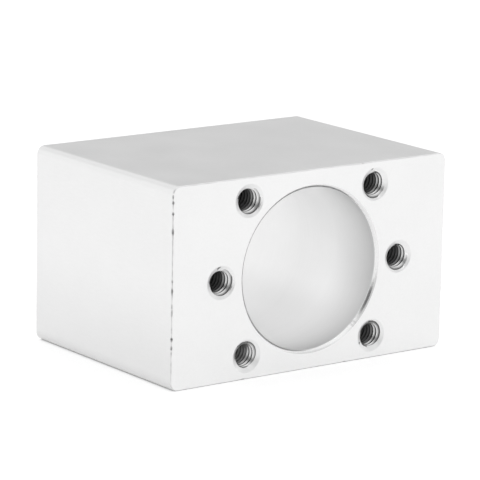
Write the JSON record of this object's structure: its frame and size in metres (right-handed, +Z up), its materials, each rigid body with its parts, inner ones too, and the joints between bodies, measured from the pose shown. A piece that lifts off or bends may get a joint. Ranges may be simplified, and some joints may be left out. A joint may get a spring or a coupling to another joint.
{
  "type": "ball screw nut housing",
  "caption": "Bored aluminium block that seats the flanged nut of a ball screw and bolts down to a carriage or table from its underside.",
  "frame": {"origin": "centre of the underside, the face that is bolted down", "axes": "+Z up from the mounting face, X across the bore, Y along the bore; the face that the nut's flange seats on looks along -Y"},
  "size_m": [0.049, 0.035, 0.0294],
  "materials": {
    "housing": "fine satin, natural anodised, with bright machined chamfers"
  },
  "bodies": {
    "root": {"housing": "housing"}
  },
  "joints": []
}
